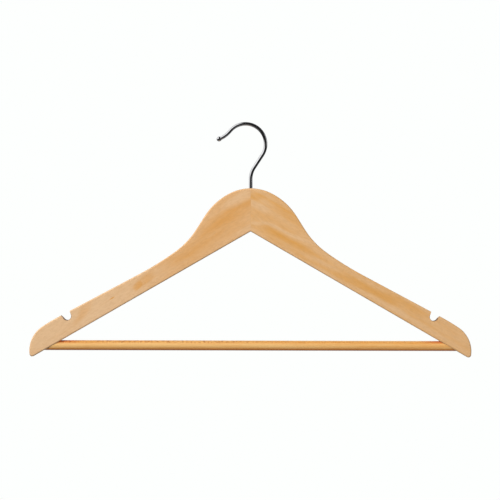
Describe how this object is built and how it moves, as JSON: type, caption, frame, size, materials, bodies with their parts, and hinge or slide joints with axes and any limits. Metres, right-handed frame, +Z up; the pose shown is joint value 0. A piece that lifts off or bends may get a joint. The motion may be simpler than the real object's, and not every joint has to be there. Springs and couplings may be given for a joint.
{
  "type": "clothes hanger",
  "caption": "Flat wooden clothes hanger with a shaped head, strap notches, a round trouser bar and a polished wire hook that swivels.",
  "frame": {"origin": "rail seat: the highest point on the inside of the hook's crook, which rests on the rail", "axes": "+Z up as hung, +X along the shoulders, -Y the front face with the hook's opening to the viewer's left (-X), +Y the back face"},
  "size_m": [0.4446, 0.012, 0.2365],
  "materials": {
    "lacquered_wood": "satin",
    "bar_wood": "satin",
    "polished_wire": "polished",
    "plated_steel": "satin"
  },
  "bodies": {
    "hook_body": {"hook": "polished_wire"},
    "hanger_body": {"left_arm": "lacquered_wood", "right_arm": "lacquered_wood", "trouser_bar": "bar_wood", "hook_nut": "plated_steel", "bar_brads": "plated_steel"}
  },
  "joints": [
    {"name": "hook_swivel", "type": "hinge", "parent": "hook_body", "child": "hanger_body", "pos_m": [0.00541, 0, -0.09426], "axis": [0, 0, 1], "continuous": true}
  ]
}
